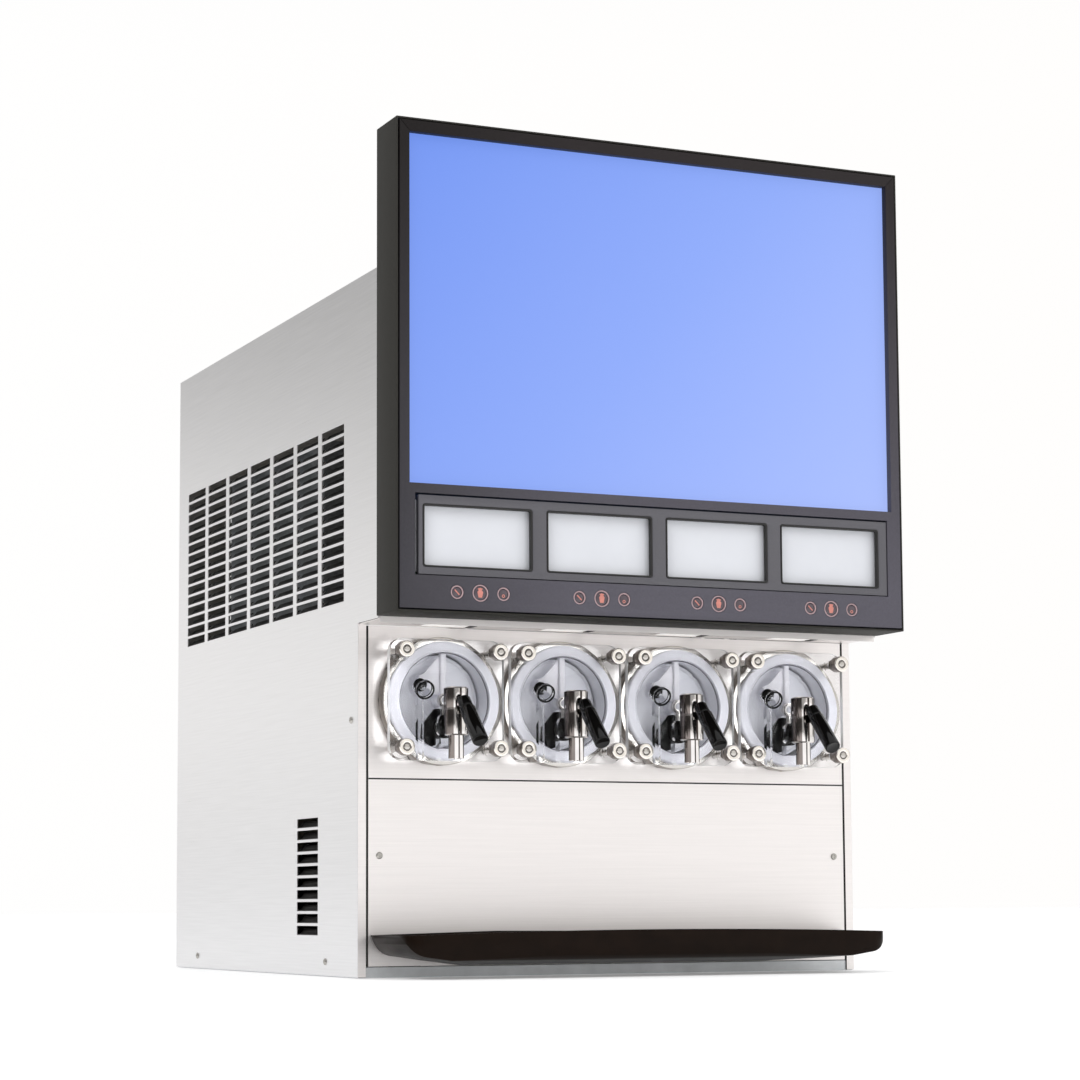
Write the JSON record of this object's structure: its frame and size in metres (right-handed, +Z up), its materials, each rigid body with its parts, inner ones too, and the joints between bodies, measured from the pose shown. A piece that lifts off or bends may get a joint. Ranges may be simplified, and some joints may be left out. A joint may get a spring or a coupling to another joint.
{
  "type": "frozen drink dispenser",
  "caption": "Countertop frozen drink dispenser: stainless cabinet with barrels behind clear face plates, lever valves, a drip tray and a lit display header.",
  "frame": {"origin": "centre of the cabinet's footprint, on the underside of the base pan", "axes": "+X to the viewer's right, -Y towards the viewer who faces the valves, +Z up"},
  "size_m": [0.664, 0.8651, 0.9815],
  "materials": {
    "stainless_side": "satin brushed",
    "stainless_front": "satin brushed",
    "stainless_barrel": "smooth",
    "grid_steel": "smooth",
    "galvanised": "zinc coated",
    "nickel": "polished nickel plate",
    "black_plastic": "glossy",
    "tray_plastic": "glossy",
    "header_paint": "fine textured powder coat",
    "fascia_plastic": "satin moulded",
    "white_plastic": "smooth",
    "clear_plastic": "clear moulded polycarbonate",
    "screen": "lit",
    "card_white": "translucent",
    "foam": "foamed in place",
    "circuit_board": "solder mask",
    "compressor_paint": "enamel",
    "cast_aluminium": "as cast",
    "tank_steel": "polished"
  },
  "bodies": {
    "cabinet": {"left_side_panel": "stainless_side", "right_side_panel": "stainless_side", "top_panel": "stainless_side", "rear_panel": "stainless_side", "canopy_panel": "stainless_front", "barrel_face_panel": "stainless_front", "splash_panel": "stainless_front", "barrel_1": "stainless_barrel", "barrel_2": "stainless_barrel", "barrel_3": "stainless_barrel", "barrel_4": "stainless_barrel", "base_pan": "galvanised", "control_box": "galvanised", "valve_body_1": "nickel", "valve_body_2": "nickel", "valve_body_3": "nickel", "valve_body_4": "nickel", "power_gland": "black_plastic", "fan_shroud": "black_plastic", "header_housing": "header_paint", "header_fascia": "fascia_plastic", "flavour_frame": "fascia_plastic", "face_ring_1": "white_plastic", "face_ring_2": "white_plastic", "face_ring_3": "white_plastic", "face_ring_4": "white_plastic", "face_plate_1": "clear_plastic", "face_plate_2": "clear_plastic", "face_plate_3": "clear_plastic", "face_plate_4": "clear_plastic", "display_panel": "screen", "flavour_diffuser": "card_white", "barrel_insulation": "foam", "lamp_board": "circuit_board", "compressor": "compressor_paint", "gear_motor_1": "cast_aluminium", "gear_motor_2": "cast_aluminium", "gear_motor_3": "cast_aluminium", "gear_motor_4": "cast_aluminium", "condenser": "cast_aluminium", "carbonator_tank": "tank_steel"},
    "valve_handle_1": {"valve_handle_1": "black_plastic"},
    "valve_handle_2": {"valve_handle_2": "black_plastic"},
    "valve_handle_3": {"valve_handle_3": "black_plastic"},
    "valve_handle_4": {"valve_handle_4": "black_plastic"},
    "valve_plunger_1": {"valve_plunger_1": "stainless_barrel"},
    "valve_plunger_2": {"valve_plunger_2": "stainless_barrel"},
    "valve_plunger_3": {"valve_plunger_3": "stainless_barrel"},
    "valve_plunger_4": {"valve_plunger_4": "stainless_barrel"},
    "dasher_1": {"dasher_1": "stainless_barrel"},
    "dasher_2": {"dasher_2": "stainless_barrel"},
    "dasher_3": {"dasher_3": "stainless_barrel"},
    "dasher_4": {"dasher_4": "stainless_barrel"},
    "relief_valve_1": {"relief_valve_1": "clear_plastic"},
    "relief_valve_2": {"relief_valve_2": "clear_plastic"},
    "relief_valve_3": {"relief_valve_3": "clear_plastic"},
    "relief_valve_4": {"relief_valve_4": "clear_plastic"},
    "fan_rotor": {"fan_rotor": "black_plastic"},
    "drip_tray": {"drip_tray": "tray_plastic"},
    "cup_grid": {"cup_grid": "grid_steel"}
  },
  "joints": [
    {"name": "valve_handle_1_pull", "type": "hinge", "parent": "cabinet", "child": "valve_handle_1", "pos_m": [-0.22995, -0.413, 0.315], "axis": [1, 0, 0], "range_deg": [0, 25], "stiffness_Nm_per_rad": 0.8, "springref_deg": -20.05},
    {"name": "valve_plunger_1_lift", "type": "slide", "parent": "cabinet", "child": "valve_plunger_1", "axis": [0, 0, 1], "range_m": [0, 0.0026]},
    {"name": "relief_valve_1_pull", "type": "slide", "parent": "cabinet", "child": "relief_valve_1", "axis": [0, -1, 0], "range_m": [0, 0.004], "stiffness_N_per_m": 250, "springref_m": -0.004},
    {"name": "dasher_1_spin", "type": "hinge", "parent": "cabinet", "child": "dasher_1", "pos_m": [-0.22995, -0.357, 0.321], "axis": [0, 1, 0], "continuous": true},
    {"name": "valve_handle_2_pull", "type": "hinge", "parent": "cabinet", "child": "valve_handle_2", "pos_m": [-0.07665, -0.413, 0.315], "axis": [1, 0, 0], "range_deg": [0, 25], "stiffness_Nm_per_rad": 0.8, "springref_deg": -20.05},
    {"name": "valve_plunger_2_lift", "type": "slide", "parent": "cabinet", "child": "valve_plunger_2", "axis": [0, 0, 1], "range_m": [0, 0.0026]},
    {"name": "relief_valve_2_pull", "type": "slide", "parent": "cabinet", "child": "relief_valve_2", "axis": [0, -1, 0], "range_m": [0, 0.004], "stiffness_N_per_m": 250, "springref_m": -0.004},
    {"name": "dasher_2_spin", "type": "hinge", "parent": "cabinet", "child": "dasher_2", "pos_m": [-0.07665, -0.357, 0.321], "axis": [0, 1, 0], "continuous": true},
    {"name": "valve_handle_3_pull", "type": "hinge", "parent": "cabinet", "child": "valve_handle_3", "pos_m": [0.07665, -0.413, 0.315], "axis": [1, 0, 0], "range_deg": [0, 25], "stiffness_Nm_per_rad": 0.8, "springref_deg": -20.05},
    {"name": "valve_plunger_3_lift", "type": "slide", "parent": "cabinet", "child": "valve_plunger_3", "axis": [0, 0, 1], "range_m": [0, 0.0026]},
    {"name": "relief_valve_3_pull", "type": "slide", "parent": "cabinet", "child": "relief_valve_3", "axis": [0, -1, 0], "range_m": [0, 0.004], "stiffness_N_per_m": 250, "springref_m": -0.004},
    {"name": "dasher_3_spin", "type": "hinge", "parent": "cabinet", "child": "dasher_3", "pos_m": [0.07665, -0.357, 0.321], "axis": [0, 1, 0], "continuous": true},
    {"name": "valve_handle_4_pull", "type": "hinge", "parent": "cabinet", "child": "valve_handle_4", "pos_m": [0.22995, -0.413, 0.315], "axis": [1, 0, 0], "range_deg": [0, 25], "stiffness_Nm_per_rad": 0.8, "springref_deg": -20.05},
    {"name": "valve_plunger_4_lift", "type": "slide", "parent": "cabinet", "child": "valve_plunger_4", "axis": [0, 0, 1], "range_m": [0, 0.0026]},
    {"name": "relief_valve_4_pull", "type": "slide", "parent": "cabinet", "child": "relief_valve_4", "axis": [0, -1, 0], "range_m": [0, 0.004], "stiffness_N_per_m": 250, "springref_m": -0.004},
    {"name": "dasher_4_spin", "type": "hinge", "parent": "cabinet", "child": "dasher_4", "pos_m": [0.22995, -0.357, 0.321], "axis": [0, 1, 0], "continuous": true},
    {"name": "fan_rotor_spin", "type": "hinge", "parent": "cabinet", "child": "fan_rotor", "pos_m": [-0.218, 0, 0.548], "axis": [1, 0, 0], "continuous": true},
    {"name": "drip_tray_pull_off", "type": "slide", "parent": "cabinet", "child": "drip_tray", "axis": [0, -1, 0], "range_m": [0, 0.18]},
    {"name": "cup_grid_lift_off", "type": "slide", "parent": "drip_tray", "child": "cup_grid", "axis": [0, 0, 1], "range_m": [0, 0.12]}
  ],
  "couplings": [
    {"joint": "valve_plunger_1_lift", "follows": "valve_handle_1_pull", "m_per_rad": 0.0055},
    {"joint": "valve_plunger_2_lift", "follows": "valve_handle_2_pull", "m_per_rad": 0.0055},
    {"joint": "valve_plunger_3_lift", "follows": "valve_handle_3_pull", "m_per_rad": 0.0055},
    {"joint": "valve_plunger_4_lift", "follows": "valve_handle_4_pull", "m_per_rad": 0.0055}
  ]
}
